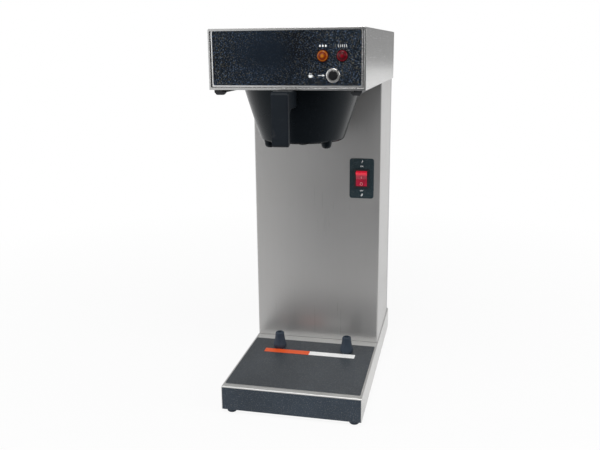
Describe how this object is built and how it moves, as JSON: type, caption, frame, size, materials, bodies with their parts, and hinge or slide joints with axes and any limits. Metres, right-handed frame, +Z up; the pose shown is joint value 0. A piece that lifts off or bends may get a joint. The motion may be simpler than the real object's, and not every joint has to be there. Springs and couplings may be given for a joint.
{
  "type": "airpot coffee brewer",
  "caption": "Countertop brewer: stainless base and tower under a box head with lamps, push button and a slide-out brew funnel, open bay for an airpot.",
  "frame": {"origin": "centre of the bounding box in plan, on the surface that the rubber feet stand on", "axes": "+Z up, -Y to the front (control panel and funnel handle), +X to the right seen from the front"},
  "size_m": [0.216, 0.435, 0.572],
  "materials": {
    "brushed_stainless": "brushed, satin",
    "plain_stainless": "mill",
    "black_textured": "fine textured black",
    "black_plate": "satin black",
    "orange_vinyl": "vinyl",
    "white_vinyl": "vinyl",
    "black_rubber": "moulded rubber",
    "silicone": "silicone",
    "zinc_steel": "zinc plated",
    "spring_steel": "bright",
    "black_plastic": "moulded",
    "funnel_plastic": "fine spark-eroded grain",
    "black_gloss": "gloss",
    "chrome_ring": "bright chrome",
    "red_rocker": "translucent red",
    "amber_lens": "translucent amber",
    "red_lens": "translucent red",
    "brass_fitting": "turned brass",
    "copper_tube": "drawn copper",
    "heater_sheath": "heat tinted",
    "cream_plastic": "moulded",
    "coil_resin": "cast resin",
    "board_green": "solder mask"
  },
  "bodies": {
    "housing": {"base_tray": "brushed_stainless", "base_bottom_plate": "plain_stainless", "base_front_panel": "black_textured", "deck_panel": "black_textured", "strip_orange": "orange_vinyl", "strip_white": "white_vinyl", "left_airpot_post": "black_rubber", "right_airpot_post": "black_rubber", "post_screws": "zinc_steel", "rubber_feet": "black_rubber", "foot_screws": "zinc_steel", "hex_nuts": "zinc_steel", "tower_shell": "brushed_stainless", "rear_cover": "brushed_stainless", "case_screws": "zinc_steel", "inner_screws": "zinc_steel", "switch_plate": "black_plate", "switch_housing": "black_plastic", "switch_terminals": "brass_fitting", "head_hood": "brushed_stainless", "head_floor": "plain_stainless", "hood_bracket": "plain_stainless", "control_plate": "brushed_stainless", "control_overlay": "black_textured", "amber_lens": "amber_lens", "red_lens": "red_lens", "lamp_bodies": "black_plastic", "panel_nuts": "zinc_steel", "button_bezel": "chrome_ring", "button_spring": "spring_steel", "button_contact_block": "black_plastic", "left_rail": "black_plastic", "right_rail": "black_plastic", "spray_head": "plain_stainless", "spray_gasket": "silicone", "spray_fitting": "brass_fitting", "spray_hose": "silicone", "tank_shelf": "plain_stainless", "water_tank": "plain_stainless", "tank_gasket": "silicone", "tank_lid": "plain_stainless", "lid_screws": "zinc_steel", "heating_element": "heater_sheath", "level_probe": "plain_stainless", "thermostat": "cream_plastic", "thermal_cutoff": "cream_plastic", "inlet_fitting": "brass_fitting", "valve_body": "brass_fitting", "valve_coil": "coil_resin", "valve_spring": "spring_steel", "fill_tube": "copper_tube", "control_board": "board_green", "terminal_block": "cream_plastic", "cord_gland": "black_plastic"},
    "funnel": {"brew_funnel": "funnel_plastic", "funnel_handle": "funnel_plastic", "handle_screws": "zinc_steel"},
    "rocker": {"switch_rocker": "red_rocker"},
    "brew_button": {"button_plunger": "black_gloss"},
    "inlet_plunger": {"valve_plunger": "spring_steel"}
  },
  "joints": [
    {"name": "funnel_slide", "type": "slide", "parent": "housing", "child": "funnel", "axis": [0, -1, 0], "range_m": [0, 0.125]},
    {"name": "rocker_tilt", "type": "hinge", "parent": "housing", "child": "rocker", "pos_m": [0.0759, 0.0271, 0.3355], "axis": [-1, 0, 0], "range_deg": [0, 18]},
    {"name": "button_push", "type": "slide", "parent": "housing", "child": "brew_button", "axis": [0, 1, 0], "range_m": [0, 0.003], "stiffness_N_per_m": 300, "springref_m": -0.002, "deforming": ["button_spring"]},
    {"name": "inlet_valve_lift", "type": "slide", "parent": "housing", "child": "inlet_plunger", "axis": [0, 0, 1], "range_m": [0, 0.003], "stiffness_N_per_m": 200, "springref_m": -0.003, "deforming": ["valve_spring"]}
  ]
}
